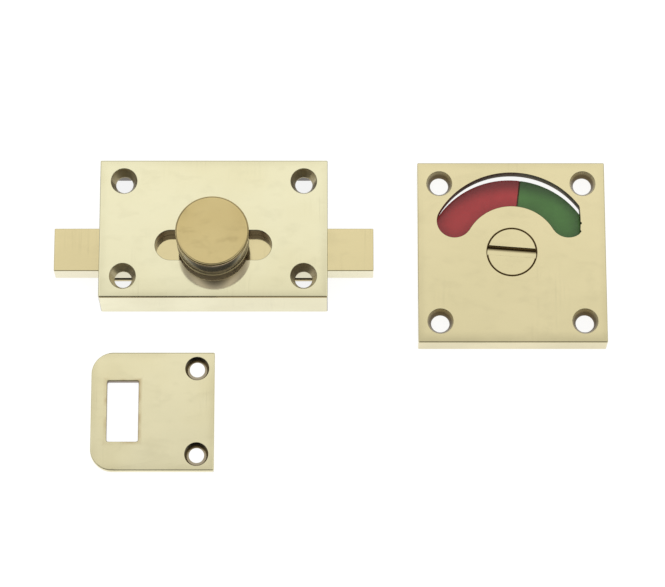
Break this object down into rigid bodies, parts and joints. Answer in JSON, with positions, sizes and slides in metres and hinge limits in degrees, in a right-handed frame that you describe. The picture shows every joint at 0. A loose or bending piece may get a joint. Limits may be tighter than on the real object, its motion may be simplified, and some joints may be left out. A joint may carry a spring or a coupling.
{
  "type": "toilet indicator bolt",
  "caption": "Sliding door bolt with a round knob in a rectangular brass case, a square indicator plate showing red or green through a curved window, and a flat keep.",
  "frame": {"origin": "centre of the bolt case's back face, which lies on the door", "axes": "+X along the bolt, from the case towards the indicator plate; +Z out of the front faces"},
  "size_m": [0.1859, 0.1061, 0.0312],
  "materials": {
    "polished_brass": "polished, faint polishing marks",
    "satin_brass": "satin, slightly deeper than the plates",
    "plain_brass": "as machined",
    "red_enamel": "gloss",
    "green_enamel": "gloss",
    "steel": "bright"
  },
  "bodies": {
    "fixed": {"bolt_case": "polished_brass", "back_plate": "plain_brass", "back_plate_screws": "steel", "friction_spring": "steel", "spring_pins": "steel", "indicator_plate": "polished_brass", "keep_plate": "polished_brass"},
    "bolt": {"bolt_bar": "satin_brass", "knob_head": "satin_brass", "knob_stem": "satin_brass", "knob_screw": "steel"},
    "pinion": {"drive_pinion": "plain_brass", "pinion_washer": "plain_brass"},
    "indicator": {"release_boss": "polished_brass", "indicator_disc": "plain_brass", "red_sector": "red_enamel", "green_sector": "green_enamel", "friction_washer": "steel", "disc_washer": "steel", "retaining_ring": "steel"}
  },
  "joints": [
    {"name": "bolt_slide", "type": "slide", "parent": "fixed", "child": "bolt", "axis": [1, 0, 0], "range_m": [-0.0143, 0.0143]},
    {"name": "pinion_turn", "type": "hinge", "parent": "fixed", "child": "pinion", "pos_m": [0, 0.0108, 0.006], "axis": [0, 0, 1], "range_deg": [-82, 82]},
    {"name": "indicator_turn", "type": "hinge", "parent": "fixed", "child": "indicator", "pos_m": [0.10045, -0.0055, 0.004], "axis": [0, 0, 1], "range_deg": [-82, 82]}
  ],
  "couplings": [
    {"joint": "pinion_turn", "follows": "bolt_slide", "rad_per_m": 100},
    {"joint": "indicator_turn", "follows": "bolt_slide", "rad_per_m": -100}
  ]
}
